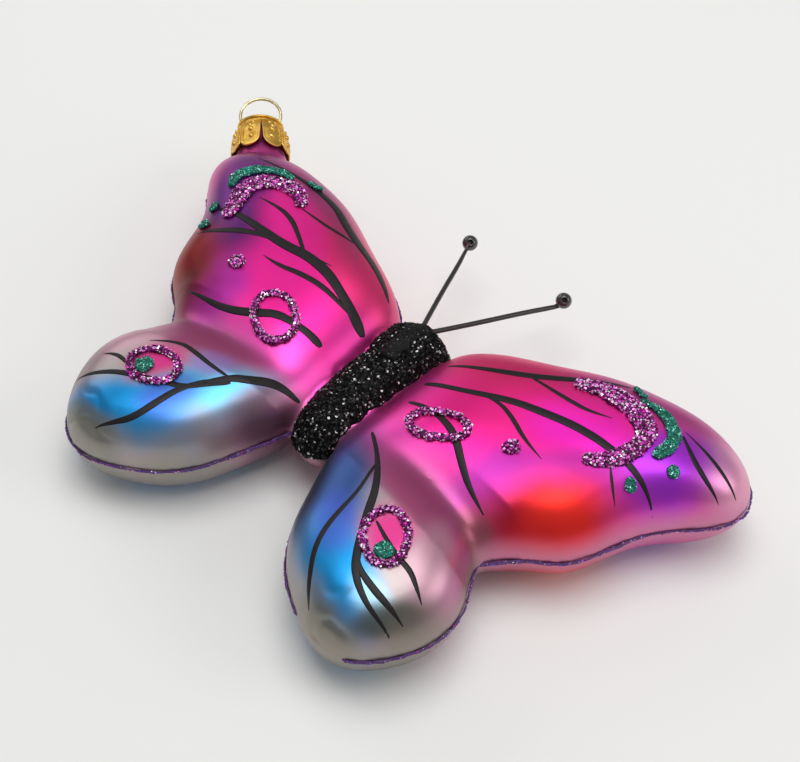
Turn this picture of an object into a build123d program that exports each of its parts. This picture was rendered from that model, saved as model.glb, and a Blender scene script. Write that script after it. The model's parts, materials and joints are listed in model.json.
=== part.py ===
from build123d import *
import math
import os

# Hanging ornament in the shape of a butterfly, lying on its back: a hollow glass figure blown in a
# two part mould, with glitter trails, wire antennae and a stamped crown cap with a wire loop.
# Millimetres. Z is up from the table, +Y points to the head, +X to the butterfly's right wings.
# Everything is first made about the wing frame: X = 0 is the middle of the body, Y = 0 the middle of
# the wings' length and Z = 0 the seam of the mould. At the end it all moves to its resting place.

# Wings
wing_span = 131.4
wing_length = 78.2
fore_height = 11.4
hind_height = 10.5
back_depth = 10.6
glass_wall = 0.9

# Body
body_length = 34.8
body_width = 12.2
body_height = 7.4
body_back = 9.2
body_middle = 4.8
head_length = 15.2
head_width = 13.4
head_rise = 0.5
head_overhang = 2.0
channel_width = 18.0
channel_length = 22.0
channel_height = 5.0

# Glitter, with a hair of glue between it and the glass
glue_gap = 0.03
coat_thickness = 0.6
trail_thickness = 0.6
trail_width = 1.25
rim_thickness = 0.55
rim_width = 1.1
fore_ring_length = 10.8
fore_ring_width = {"right": 5.5, "left": 7.6}
hind_ring_length = {"right": 10.7, "left": 9.4}
hind_ring_width = 7.4
pink_dot_diameter = 3.0
teal_dot_diameter = 3.4
small_dot_diameter = 2.2

# Neck, cap and hanger
neck_diameter = 8.2
neck_length = 8.9
neck_flare_diameter = 11.6
cap_clearance = 0.2
cap_length = 8.5
cap_metal = 0.35
cap_top_metal = 0.4
cap_flare_diameter = 12.8
cap_lip = 0.35
petal_slit = 0.35
petal_gap = 1.1
wire_diameter = 0.7
wire_clearance = 0.15
loop_width = 9.4
loop_height = 7.2
loop_foot = 1.0
leg_rise = 0.3
leg_length = 13.0

# Antennae, measured from the front end of the body
antenna_wire = 0.85
antenna_spread = 23.8
antenna_reach = 24.8
antenna_root_height = 6.2
antenna_root_back = 1.6
root_spread_share = 0.6
bead_height = 2.0
bead_diameter = 3.2
wire_hook = 1.3
glue_width = 6.0
glue_length = 13.2
glue_height = 6.0
glue_middle_back = 7.7
overrun = 2.0

half_span = wing_span / 2
half_length = wing_length / 2

# Outlines of the right wings, as shares of the half span and the half length
fore_outline_shares = (
    (0.084, 0.420), (0.114, 0.548), (0.168, 0.632), (0.335, 0.780), (0.510, 0.920),
    (0.670, 0.982), (0.800, 0.994), (0.900, 0.950), (0.968, 0.870), (0.997, 0.745),
    (0.966, 0.605), (0.893, 0.470), (0.826, 0.300), (0.785, 0.125), (0.735, -0.005),
    (0.655, -0.110), (0.585, -0.232), (0.440, -0.275), (0.250, -0.265), (0.088, -0.215),
    (0.074, -0.060), (0.074, 0.150),
)
hind_outline_shares = (
    (0.583, -0.257), (0.618, -0.370), (0.650, -0.490), (0.656, -0.620), (0.635, -0.745),
    (0.585, -0.880), (0.515, -0.975), (0.430, -0.995), (0.335, -0.935), (0.245, -0.835),
    (0.170, -0.680), (0.125, -0.500), (0.090, -0.340), (0.074, -0.200), (0.080, -0.100),
    (0.140, -0.060), (0.300, -0.065), (0.460, -0.130),
)
fore_middle_share = (0.520, 0.410)
hind_middle_share = (0.380, -0.510)

# Where the lobes' height is read: turns from the flat on the back up to the flat on the front
section_turns = (-86, -76, -62, -46, -30, -15, 0, 15, 30, 46, 62, 76, 86)
lobe_power = 4
body_power = 2.4
round_power = 2
end_power = 2.6

# Marks on the right wings, as shares of the half span and the half length
fore_ring_share = {"right": (0.289, 0.049), "left": (0.304, 0.026)}
hind_ring_share = {"right": (0.428, -0.541), "left": (0.419, -0.559)}
pink_dot_share = {"right": (0.484, 0.162), "left": (0.532, 0.145)}
teal_dot_share = {"right": (0.453, -0.595), "left": (0.440, -0.586)}
fore_ring_turn = {"right": 25, "left": 31}
hind_ring_turn = {"right": -49, "left": -16}
pink_crescent_shares = {
    "right": (
        (0.487, 0.655), (0.540, 0.691), (0.609, 0.696), (0.674, 0.670), (0.715, 0.604), (0.721, 0.512),
        (0.703, 0.425), (0.654, 0.332),
    ),
    "left": (
        (0.572, 0.655), (0.627, 0.698), (0.688, 0.680), (0.735, 0.604), (0.737, 0.512), (0.720, 0.430),
        (0.706, 0.368),
    ),
}
teal_crescent_shares = {
    "right": ((0.644, 0.770), (0.700, 0.765), (0.752, 0.726), (0.779, 0.650), (0.775, 0.568)),
    "left": ((0.682, 0.757), (0.734, 0.750), (0.779, 0.696), (0.804, 0.614), (0.795, 0.532)),
}

# The crescents' widths along their middle lines, as shares of their widest
pink_crescent_width = 3.9
teal_crescent_width = 2.4
pink_width_shares = {
    "right": (0.66, 0.90, 1.00, 1.00, 0.92, 0.85, 0.76, 0.58),
    "left": (0.68, 0.82, 0.88, 1.00, 1.00, 0.87, 0.70),
}
teal_width_shares = {"right": (0.64, 0.75, 0.92, 1.00, 0.94), "left": (0.62, 0.79, 0.96, 1.00, 0.82)}
teal_dash_share = (0.610, 0.815)
teal_dash_length = 3.6
teal_dash_turn = -16
left_dot_shares = ((-0.778, 0.374), (-0.745, 0.254))
right_dot_shares = ((0.831, 0.548), (0.773, 0.378))

# The neck leaves the left forewing's tip, and everything on it turns about this axis
neck_foot_share = (-0.945, 0.949)
neck_turn = 134.5
neck_lift = 17

# The cap's petals: every other slit is open, and a slit's sides end at these shares of the length
petal_count = 8
cap_shoulder_share = 0.16
cap_swell_share = 0.40
slit_start_share = 0.08
open_petal_share = 0.74
closed_petal_share = 0.84
cap_turn = 6
petal_point_share = 0.78


def in_plan(share):
    return (share[0] * half_span, share[1] * half_length)


def moved_outline(points, distance):
    """The points of a closed outline, each moved out by a distance square to its neighbours."""
    moved = []
    for before, here, after in zip(points[-1:] + points[:-1], points, points[1:] + points[:1]):
        along_x, along_y = after[0] - before[0], after[1] - before[1]
        run = math.hypot(along_x, along_y)
        moved.append((here[0] - distance * along_y / run, here[1] + distance * along_x / run))
    return moved


def pillow(points, middle, front, back, power, grown=0.0):
    """A puffed form over a plan outline, drawn in towards its middle as it rises and falls."""
    points = moved_outline(points, grown)
    sections = []
    for turn in section_turns:
        angle = math.radians(turn)
        share = math.cos(angle) ** (2 / power)
        height = math.sin(angle) * ((front if turn > 0 else back) + grown)
        ring = [
            Vector(middle[0] + share * (x - middle[0]), middle[1] + share * (y - middle[1]), height)
            for x, y in points
        ]
        sections.append(Wire([Edge.make_spline(ring, periodic=True)]))
    return Solid.make_loft(sections)


def blunt(value):
    """A sine or cosine drawn out, which makes a round outline's ends blunt."""
    return math.copysign(abs(value) ** (round_power / end_power), value)


def round_outline(middle, width, length, count=16):
    turns = [2 * math.pi * step / count for step in range(count)]
    return [
        (middle[0] + width / 2 * blunt(math.sin(turn)), middle[1] + length / 2 * blunt(math.cos(turn)))
        for turn in turns
    ]


def mirrored(shape):
    return shape.mirror(Plane.YZ)


def forewing(grown=0.0):
    points = [in_plan(share) for share in fore_outline_shares]
    return pillow(points, in_plan(fore_middle_share), fore_height, back_depth, lobe_power, grown)


def hindwing(grown=0.0):
    points = [in_plan(share) for share in hind_outline_shares]
    return pillow(points, in_plan(hind_middle_share), hind_height, back_depth, lobe_power, grown)


def trunk(grown=0.0):
    middle = (0, body_middle - head_overhang / 2)
    points = round_outline(middle, body_width, body_length - head_overhang)
    return pillow(points, middle, body_height, body_back, body_power, grown)


def head(grown=0.0):
    """The head stands out past the trunk's front end, so that the body ends with it."""
    middle = (0, body_middle + (body_length - head_length) / 2)
    points = round_outline(middle, head_width, head_length)
    return pillow(points, middle, body_height + head_rise, body_back, body_power, grown)


def channel():
    """The low way inside the glass that joins the hollow of the trunk to those of the wings."""
    middle = (0, body_middle)
    points = round_outline(middle, channel_width, channel_length)
    return pillow(points, middle, channel_height / 2, channel_height / 2, body_power)


def neck_plane():
    """Origin on the wing's edge, Z out and up along the neck and X level, square to it."""
    turn, lift = math.radians(neck_turn), math.radians(neck_lift)
    foot = in_plan(neck_foot_share)
    level = math.cos(lift)
    return Plane(
        origin=(foot[0], foot[1], 0),
        x_dir=(math.sin(turn), -math.cos(turn), 0),
        z_dir=(level * math.cos(turn), level * math.sin(turn), math.sin(lift)),
    )


def on_neck(shape):
    return neck_plane().location * shape


def turned(points):
    """A solid turned about Z from a closed outline of radius and height."""
    outline = Polyline(*[(radius, 0, height) for radius, height in points], close=True)
    return revolve(make_face(outline), Axis.Z)


def neck_outer(grown=0.0):
    """The neck's glass: straight under the cap, then flared out into the wing's tip."""
    neck = neck_diameter / 2 + grown
    flare = neck_flare_diameter / 2 + grown
    bend = neck_length / 2
    foot = -neck_length * 2 / 3
    top = Line((0, 0, neck_length), (neck, 0, neck_length))
    wall = Line((neck, 0, neck_length), (neck, 0, bend))
    curve = Spline(
        (neck, 0, bend), ((neck + flare) / 2, 0, bend / 2), (flare, 0, 0),
        tangents=((0, 0, -1), (1, 0, -2)),
    )
    rest = Polyline((flare, 0, 0), (flare + glass_wall / 2, 0, foot), (0, 0, foot), (0, 0, neck_length))
    return on_neck(revolve(make_face([top, wall, curve, rest]), Axis.Z))


def neck_bore():
    """The hole down the neck, open into the hollow wing past the ends of the hanger's legs."""
    radius = neck_diameter / 2 - glass_wall
    bore = Cylinder(radius, leg_length + neck_length, align=(Align.CENTER, Align.CENTER, Align.MAX))
    return on_neck(Pos(0, 0, neck_length + overrun) * bore)


def glass_figure():
    """The blown figure: four puffed wings, the body, the head and the neck as one hollow shell."""
    right = [forewing(), hindwing()]
    left = [mirrored(lobe) for lobe in right]
    outer = trunk().fuse(head(), *right, *left).fuse(neck_outer())
    right_hollow = [forewing(-glass_wall), hindwing(-glass_wall)]
    left_hollow = [mirrored(lobe) for lobe in right_hollow]
    hollow = trunk(-glass_wall).fuse(head(-glass_wall), *right_hollow, *left_hollow, channel())
    return outer.cut(hollow, neck_bore())


def plan_prism(face):
    """A tall prism over a flat outline, from the seam up past the front."""
    return extrude(face, fore_height + overrun)


def ring_face(share, length, width, turn):
    x, y = in_plan(share)
    half = trail_width / 2
    outer = Ellipse(length / 2 + half, width / 2 + half)
    inner = Ellipse(length / 2 - half, width / 2 - half)
    return Pos(x, y) * Rot(0, 0, turn) * (outer - inner)


def dot_face(share, diameter):
    x, y = in_plan(share)
    return Pos(x, y) * Circle(diameter / 2)


def crescent_face(shares, width, width_shares):
    """A stroke along a middle line, of changing width and with round ends."""
    points = [in_plan(share) for share in shares]
    outer, inner = [], []
    for index, (x, y) in enumerate(points):
        before, after = points[max(index - 1, 0)], points[min(index + 1, len(points) - 1)]
        along_x, along_y = after[0] - before[0], after[1] - before[1]
        run = math.hypot(along_x, along_y)
        half = width / 2 * width_shares[index]
        across = (-along_y / run * half, along_x / run * half)
        outer.append((x + across[0], y + across[1]))
        inner.append((x - across[0], y - across[1]))
        if index == 0:
            start = (x - along_x / run * half, y - along_y / run * half)
        end = (x + along_x / run * half, y + along_y / run * half)
    return make_face([
        Spline(*outer), ThreePointArc(outer[-1], end, inner[-1]),
        Spline(*inner[::-1]), ThreePointArc(inner[0], start, outer[0]),
    ])


def dash_face():
    x, y = in_plan(teal_dash_share)
    return Pos(x, y) * Rot(0, 0, teal_dash_turn) * SlotOverall(teal_dash_length, trail_width)


def trail_on(face, skin, lobes):
    """A glitter trail: the glass's own surface moved out, cut to an outline, less the glass."""
    return (skin & plan_prism(face)).cut(*lobes)


def unturned(shape):
    return shape


def wing_trails(side, skins, lobes):
    """Every glitter mark of one side's wings, the right side's outlines mirrored for the left."""
    flip = mirrored if side == "left" else unturned
    fore_skin, hind_skin = skins
    marks = {
        "forewing_ring": (
            ring_face(fore_ring_share[side], fore_ring_length, fore_ring_width[side], fore_ring_turn[side]),
            fore_skin),
        "forewing_pink_dot": (dot_face(pink_dot_share[side], pink_dot_diameter), fore_skin),
        "forewing_pink_crescent": (
            crescent_face(pink_crescent_shares[side], pink_crescent_width, pink_width_shares[side]), fore_skin),
        "forewing_teal_crescent": (
            crescent_face(teal_crescent_shares[side], teal_crescent_width, teal_width_shares[side]), fore_skin),
        "hindwing_ring": (
            ring_face(hind_ring_share[side], hind_ring_length[side], hind_ring_width, hind_ring_turn[side]),
            hind_skin),
        "hindwing_teal_dot": (dot_face(teal_dot_share[side], teal_dot_diameter), hind_skin),
    }
    trails = {}
    for name, (face, skin) in marks.items():
        trails[side + "_" + name] = trail_on(flip(face), skin, lobes)
    small = [flip(dash_face())]
    for share in left_dot_shares if side == "left" else right_dot_shares:
        small.append(dot_face(share, small_dot_diameter))
    trails[side + "_forewing_teal_dots"] = Compound(
        children=[trail_on(face, fore_skin, lobes) for face in small]
    )
    return trails


def body_coat(wing_lobes):
    """The black glitter on the front half of the body, laid over the glass."""
    grown = trunk(coat_thickness).fuse(head(coat_thickness))
    front = Pos(0, body_middle, 0) * Box(
        wing_span, wing_length, body_height * 2, align=(Align.CENTER, Align.CENTER, Align.MIN)
    )
    return (grown & front).cut(trunk(glue_gap), head(glue_gap), *wing_lobes)


def rim_trail(grown_lobes, lobes, ends):
    """The glitter trail that hides the mould's seam round the wings of one side."""
    band = Box(wing_span + overrun, wing_length + overrun, rim_width)
    strips = [(grown & band).cut(lobe) for grown, lobe in zip(grown_lobes, lobes)]
    round_fore, round_hind = strips[0].cut(lobes[1]), strips[1].cut(lobes[0])
    return round_fore.fuse(round_hind).cut(*ends)


def cap_top():
    """Height of the cap's top along the neck: its top plate rests on the glass."""
    return neck_length + cap_top_metal


def cap_bell():
    """The thin bell of the cap, its closed top at height 0 and its petals below."""
    inner = neck_diameter / 2 + cap_clearance
    outer = inner + cap_metal
    flare = cap_flare_diameter / 2
    brim = flare - cap_metal
    shoulder, swell = -cap_shoulder_share * cap_length, -cap_swell_share * cap_length
    return turned([
        (0, 0), (outer, 0), (outer + cap_lip, -cap_lip), (outer, -2 * cap_lip), (outer, shoulder),
        (brim, swell), (flare, -cap_length), (brim, -cap_length), (brim - cap_metal, swell),
        (inner, shoulder - cap_metal / 2), (inner, -cap_top_metal), (0, -cap_top_metal),
    ])


def petal_cut(open_slit):
    """What is cut between two petals: a slit from near the top, then the notch between two tips."""
    reach = petal_point_share * cap_flare_diameter / 2 * math.sin(math.pi / petal_count)
    width = petal_gap if open_slit else petal_slit
    knee = (open_petal_share if open_slit else closed_petal_share) * cap_length
    start = slit_start_share * cap_length + 2 * cap_lip
    outline = Polyline(
        (petal_slit / 2, -start), (width / 2, -knee), (reach, -cap_length),
        (reach, -cap_length - overrun), (-reach, -cap_length - overrun),
        (-reach, -cap_length), (-width / 2, -knee), (-petal_slit / 2, -start), close=True,
    )
    return Rot(90, 0, 0) * extrude(make_face(outline), cap_flare_diameter)


def leg_place():
    """Each leg stands inside the bore of the neck, a clearance off the glass."""
    return neck_diameter / 2 - glass_wall - wire_clearance - wire_diameter / 2


def crown_cap():
    hole = wire_diameter / 2 + wire_clearance
    slits = [
        Rot(0, 0, cap_turn + step * 360 / petal_count) * petal_cut(step % 2 == 0) for step in range(petal_count)
    ]
    holes = [Pos(side * leg_place(), 0, 0) * Cylinder(hole, cap_length) for side in (-1, 1)]
    return on_neck(Pos(0, 0, cap_top()) * cap_bell().cut(*slits, *holes))


def hanger_wire():
    """One wire: a round loop, drawn in at its feet, whose two legs go down into the neck."""
    radius = (loop_width - wire_diameter) / 2
    middle = loop_height - wire_diameter / 2 - radius
    leg = leg_place()
    foot = (math.sqrt(radius**2 - (middle - loop_foot) ** 2), loop_foot)
    path = Wire([
        Edge.make_line((-leg, 0, -leg_length), (-leg, 0, leg_rise)),
        Edge.make_line((-leg, 0, leg_rise), (-foot[0], 0, foot[1])),
        Edge.make_three_point_arc((-foot[0], 0, foot[1]), (0, 0, middle + radius), (foot[0], 0, foot[1])),
        Edge.make_line((foot[0], 0, foot[1]), (leg, 0, leg_rise)),
        Edge.make_line((leg, 0, leg_rise), (leg, 0, -leg_length)),
    ])
    section = Pos(-leg, 0, -leg_length) * Circle(wire_diameter / 2)
    wire = sweep(section, path, transition=Transition.ROUND)
    return on_neck(Pos(0, 0, cap_top() + wire_clearance) * wire)


def coated_body():
    """The body with its glitter, which the antennae and the rim trails stop against."""
    return trunk(coat_thickness + glue_gap), head(coat_thickness + glue_gap)


def bead_place(side):
    front = body_middle + body_length / 2
    return Vector(side * antenna_spread / 2, front + antenna_reach, bead_height)


def antenna_root(side):
    """The two wires meet near the front of the head, a wire's width apart."""
    front = body_middle + body_length / 2
    return Vector(side * antenna_wire * root_spread_share, front - antenna_root_back, antenna_root_height)


def antenna(side):
    """A straight wire into its bead. The right one passes under its bead and hooks up into it."""
    start, end = antenna_root(side), bead_place(side)
    along = (end - start).normalized()
    if side > 0:
        knee = end - Vector(0, 0, wire_hook) - along * wire_hook
        path = Wire([Edge.make_line(start, knee), Edge.make_line(knee, end)])
        along = (knee - start).normalized()
    else:
        path = Wire([Edge.make_line(start, end)])
    section = Plane(origin=start, z_dir=along) * Circle(antenna_wire / 2)
    wire = sweep(section, path, transition=Transition.ROUND)
    return wire.cut(*coated_body())


def antenna_bead(side, wire):
    place = bead_place(side)
    return (Pos(place.X, place.Y, place.Z) * Sphere(bead_diameter / 2)).cut(wire)


def antenna_glue(wires):
    """The long mound of black glitter glue that holds the two wires on the head."""
    middle = (0, body_middle + body_length / 2 - glue_middle_back)
    points = round_outline(middle, glue_width, glue_length)
    mound = pillow(points, middle, glue_height / 2, glue_height / 2, round_power)
    return (Pos(0, 0, antenna_root_height) * mound).cut(*coated_body(), *wires)


def main():
    right_lobes = [forewing(glue_gap), hindwing(glue_gap)]
    right_skins = [forewing(trail_thickness), hindwing(trail_thickness)]
    right_rims = [forewing(rim_thickness), hindwing(rim_thickness)]
    left_lobes, left_skins, left_rims = [
        [mirrored(lobe) for lobe in group] for group in (right_lobes, right_skins, right_rims)
    ]
    neck = neck_outer(glue_gap)
    ends = coated_body()
    wires = {name: antenna(side) for name, side in (("left", -1), ("right", 1))}

    parts = {"glass_figure": glass_figure()}
    parts["body_glitter_coat"] = body_coat(right_lobes + left_lobes)
    parts["right_rim_glitter"] = rim_trail(right_rims, right_lobes, ends)
    parts["left_rim_glitter"] = rim_trail(left_rims, left_lobes, [*ends, neck])
    parts.update(wing_trails("right", right_skins, right_lobes))
    parts.update(wing_trails("left", left_skins, [*left_lobes, neck]))
    parts["crown_cap"] = crown_cap()
    parts["hanger_wire"] = hanger_wire()
    for name, side in (("left", -1), ("right", 1)):
        parts[name + "_antenna_wire"] = wires[name]
        parts[name + "_antenna_bead"] = antenna_bead(side, wires[name])
    parts["antenna_glue"] = antenna_glue(wires.values())

    # The ornament rests on its back, and its origin is under the middle of its whole box
    box = Compound(children=[Compound(shape.solids()) for shape in parts.values()]).bounding_box()
    middle = box.center()
    rest = Pos(-middle.X, -middle.Y, -box.min.Z)
    os.makedirs("parts", exist_ok=True)
    for name, shape in parts.items():
        export_step(rest * shape, "parts/" + name + ".step")
    axis = neck_plane().z_dir
    top = neck_plane().origin + axis * cap_top() - Vector(middle.X, middle.Y, box.min.Z)
    print("wing frame sits at", -middle.X, -middle.Y, -box.min.Z)
    print("whole size", box.size)
    print("neck axis", axis, "cap top", top)


main()
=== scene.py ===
import bpy
import bmesh
import json
import math
import random
from mathutils import Matrix, Vector, noise
from mathutils.bvhtree import BVHTree


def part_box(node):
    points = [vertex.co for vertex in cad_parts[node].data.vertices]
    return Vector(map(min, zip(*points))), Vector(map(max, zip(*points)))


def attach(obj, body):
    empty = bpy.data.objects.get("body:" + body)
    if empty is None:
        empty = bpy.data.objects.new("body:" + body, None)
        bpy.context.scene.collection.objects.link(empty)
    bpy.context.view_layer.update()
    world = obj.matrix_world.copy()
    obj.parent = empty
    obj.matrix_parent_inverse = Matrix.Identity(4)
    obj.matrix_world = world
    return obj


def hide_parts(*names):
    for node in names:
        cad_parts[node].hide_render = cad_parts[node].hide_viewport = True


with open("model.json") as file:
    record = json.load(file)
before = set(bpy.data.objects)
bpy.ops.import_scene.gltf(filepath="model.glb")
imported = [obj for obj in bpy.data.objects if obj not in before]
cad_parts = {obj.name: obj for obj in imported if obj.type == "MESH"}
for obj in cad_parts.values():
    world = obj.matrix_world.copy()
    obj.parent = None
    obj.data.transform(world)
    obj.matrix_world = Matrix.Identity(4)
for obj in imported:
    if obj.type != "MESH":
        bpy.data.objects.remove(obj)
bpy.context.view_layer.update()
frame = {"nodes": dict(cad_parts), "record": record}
mm = 0.001
noise.seed_set(7)  # so that each run lays the same lines

# The wing frame: the body's middle, the wings' middle and the mould's seam
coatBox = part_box("body_glitter_coat")
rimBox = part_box("right_rim_glitter")
origin = Vector((
    (coatBox[0][0] + coatBox[1][0]) / 2,
    (rimBox[0][1] + rimBox[1][1]) / 2,
    (rimBox[0][2] + rimBox[1][2]) / 2,
))
print("wing frame at", origin)


def wingPoint(x, y, z=0.0):
    return origin + Vector((x, y, z)) * mm


# Camera and studio

camera = {
    "place": (122.5, -121.5, 207.75),
    "right": (0.73885, 0.67386, 0.00103),
    "up": (-0.50954, 0.55768, 0.65525),
    "lens": 66.6,
    "sensor": 36.0,
}


def addCamera():
    data = bpy.data.cameras.new("camera")
    data.lens = camera["lens"]
    data.sensor_width = camera["sensor"]
    data.sensor_fit = "HORIZONTAL"
    data.clip_start = 0.01
    right = Vector(camera["right"]).normalized()
    up = Vector(camera["up"])
    up = (up - right * up.dot(right)).normalized()
    back = right.cross(up)
    turn = Matrix((right, up, back)).transposed().to_4x4()
    thing = bpy.data.objects.new("camera", data)
    thing.matrix_world = Matrix.Translation(wingPoint(*camera["place"])) @ turn
    bpy.context.scene.collection.objects.link(thing)
    bpy.context.scene.camera = thing


studio = {
    "floorSize": 4.0,
    "floorColor": (0.90, 0.90, 0.885, 1),
    "worldColor": (1.0, 1.0, 1.0, 1),
    "worldStrength": 0.32,
    # name, place, aimed at, width, height, watts
    "lamps": (
        ("keyPanel", (0.02, 0.06, 0.72), (0, 0, 0), 0.62, 0.5, 3.1),
        ("sidePanel", (0.55, 0.35, 0.38), (0, 0, 0), 0.4, 0.4, 0.9),
        ("backPanel", (-0.5, 0.1, 0.3), (0, 0, 0), 0.4, 0.3, 0.4),
    ),
}


def addNode(tree, kind, x=0, y=0, **values):
    node = tree.nodes.new(kind)
    node.location = (x, y)
    for name, value in values.items():
        setattr(node, name, value)
    return node


def newMaterial(name):
    made = bpy.data.materials.new(name)
    made.use_nodes = True
    made.node_tree.nodes.clear()
    out = addNode(made.node_tree, "ShaderNodeOutputMaterial", 1200, 0)
    return made, made.node_tree, out


def addStudio():
    mesh = bpy.data.meshes.new("studioFloor")
    bm = bmesh.new()
    bmesh.ops.create_grid(bm, x_segments=1, y_segments=1, size=studio["floorSize"] / 2)
    bm.to_mesh(mesh)
    bm.free()
    floor = bpy.data.objects.new("studioFloor", mesh)
    bpy.context.scene.collection.objects.link(floor)
    made, tree, out = newMaterial("studioFloor")
    plain = addNode(tree, "ShaderNodeBsdfPrincipled", 300, 0)
    plain.inputs["Base Color"].default_value = studio["floorColor"]
    plain.inputs["Roughness"].default_value = 0.75
    plain.inputs["Specular IOR Level"].default_value = 0.15
    tree.links.new(plain.outputs["BSDF"], out.inputs["Surface"])
    mesh.materials.append(made)

    world = bpy.data.worlds.new("studioWorld")
    world.use_nodes = True
    back = world.node_tree.nodes["Background"]
    back.inputs["Color"].default_value = studio["worldColor"]
    back.inputs["Strength"].default_value = studio["worldStrength"]
    bpy.context.scene.world = world

    for name, place, target, width, height, watts in studio["lamps"]:
        data = bpy.data.lights.new(name, "AREA")
        data.shape = "RECTANGLE"
        data.size, data.size_y = width, height
        data.energy = watts
        lamp = bpy.data.objects.new(name, data)
        look = (Vector(target) - Vector(place)).to_track_quat("-Z", "Y")
        lamp.matrix_world = Matrix.Translation(Vector(place)) @ look.to_matrix().to_4x4()
        bpy.context.scene.collection.objects.link(lamp)
    bpy.context.scene.view_settings.view_transform = "Standard"


addCamera()
addStudio()
print("camera and studio ready")


# Mesh helpers

def newPiece(name, bm, material=None, smooth=True):
    mesh = bpy.data.meshes.new(name)
    bm.to_mesh(mesh)
    bm.free()
    piece = bpy.data.objects.new(name, mesh)
    bpy.context.scene.collection.objects.link(piece)
    if smooth:
        mesh.shade_smooth()
    if material:
        mesh.materials.append(material)
    return piece


def cadCopy(node):
    # a CAD node's loose triangles, merged into one skin
    bm = bmesh.new()
    bm.from_mesh(frame["nodes"][node].data)
    bmesh.ops.remove_doubles(bm, verts=bm.verts, dist=0.002 * mm)
    return bm


def remeshed(bm, voxel):
    mesh = bpy.data.meshes.new("remeshWork")
    bm.to_mesh(mesh)
    bm.free()
    work = bpy.data.objects.new("remeshWork", mesh)
    bpy.context.scene.collection.objects.link(work)
    step = work.modifiers.new("remesh", "REMESH")
    step.mode = "VOXEL"
    step.voxel_size = voxel
    step.adaptivity = 0.0
    shown = work.evaluated_get(bpy.context.evaluated_depsgraph_get())
    fresh = bmesh.new()
    fresh.from_mesh(shown.to_mesh())
    shown.to_mesh_clear()
    bpy.data.objects.remove(work)
    bpy.data.meshes.remove(mesh)
    return fresh


# Shared shader groups

def sprayGroup():
    # a soft sprayed spot: 1 in its middle, 0 past its edge, in millimetres of the plan
    group = bpy.data.node_groups.new("sprayedSpot", "ShaderNodeTree")
    face = group.interface
    face.new_socket("Place", in_out="INPUT", socket_type="NodeSocketVector")
    face.new_socket("Middle", in_out="INPUT", socket_type="NodeSocketVector")
    face.new_socket("Turn", in_out="INPUT", socket_type="NodeSocketFloat")
    face.new_socket("Size", in_out="INPUT", socket_type="NodeSocketVector")
    face.new_socket("Strength", in_out="INPUT", socket_type="NodeSocketFloat")
    face.new_socket("Mask", in_out="OUTPUT", socket_type="NodeSocketFloat")
    start = addNode(group, "NodeGroupInput", -800, 0)
    end = addNode(group, "NodeGroupOutput", 600, 0)
    away = addNode(group, "ShaderNodeVectorMath", -600, 0, operation="SUBTRACT")
    turned = addNode(group, "ShaderNodeVectorRotate", -400, 0, rotation_type="Z_AXIS")
    scaled = addNode(group, "ShaderNodeVectorMath", -200, 0, operation="DIVIDE")
    flat = addNode(group, "ShaderNodeVectorMath", -100, 0, operation="MULTIPLY")
    flat.inputs[1].default_value = (1, 1, 0)
    length = addNode(group, "ShaderNodeVectorMath", 0, 0, operation="LENGTH")
    soft = addNode(group, "ShaderNodeMapRange", 200, 0, interpolation_type="SMOOTHERSTEP")
    soft.inputs["From Min"].default_value = 1.0
    soft.inputs["From Max"].default_value = 0.2
    strong = addNode(group, "ShaderNodeMath", 400, 0, operation="MULTIPLY")
    link = group.links.new
    link(start.outputs["Place"], away.inputs[0])
    link(start.outputs["Middle"], away.inputs[1])
    link(away.outputs[0], turned.inputs["Vector"])
    link(start.outputs["Turn"], turned.inputs["Angle"])
    link(turned.outputs["Vector"], scaled.inputs[0])
    link(start.outputs["Size"], scaled.inputs[1])
    link(scaled.outputs[0], flat.inputs[0])
    link(flat.outputs[0], length.inputs[0])
    link(length.outputs["Value"], soft.inputs["Value"])
    link(soft.outputs["Result"], strong.inputs[0])
    link(start.outputs["Strength"], strong.inputs[1])
    link(strong.outputs[0], end.inputs["Mask"])
    return group


sprayedSpot = sprayGroup()


# The sprayed lacquer, in millimetres of the wing plan, from the body's middle outwards
lacquer = {
    "roughness": 0.36,
    "metallic": 0.8,
    "coat": 0.08,
    "coatRoughness": 0.2,
    "base": (0.55, 0.19, 0.36),
    # the two rim colours are the silver at the turned edges, made paler and greyer as a painted sheen
    "foreRim": (0.62, 0.24, 0.38),
    "hindRim": (0.34, 0.30, 0.26),
    "rimShare": (0.0, 0.8),
    "rimHeight": (6.5, 0.5),
    "rimSides": 8.0,
    "rimChange": (-7.0, -13.0),
    "wobbleScale": 0.07,
    "wobble": 6.0,
    "peelScale": 1.6,
}

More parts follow.
